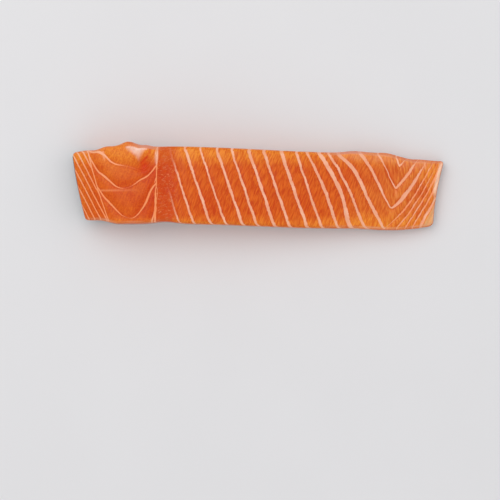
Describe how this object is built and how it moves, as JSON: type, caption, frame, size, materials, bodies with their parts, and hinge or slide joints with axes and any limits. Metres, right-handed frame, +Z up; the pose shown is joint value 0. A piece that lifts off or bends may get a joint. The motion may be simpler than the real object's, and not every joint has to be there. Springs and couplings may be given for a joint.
{
  "type": "skin-on salmon fillet",
  "caption": "Raw skin-on salmon fillet portion, cut straight across a side: thick rounded back end, thin belly end, pink flesh with white lines over silver skin.",
  "frame": {"origin": "middle of the footprint, on the floor that the skin rests on", "axes": "+X from the back of the fish to the belly, +Y across the portion from cut to cut, +Z up from the skin to the flesh side"},
  "size_m": [0.1856, 0.0444, 0.0235],
  "materials": {
    "flesh": "raw salmon flesh, moist, orange-pink, with pale fat lines between the flakes",
    "skin": "scaled fish skin, wet and silvery, dark blue-grey over the back and white at the belly"
  },
  "bodies": {
    "root": {"flesh": "flesh", "skin": "skin"}
  },
  "joints": []
}
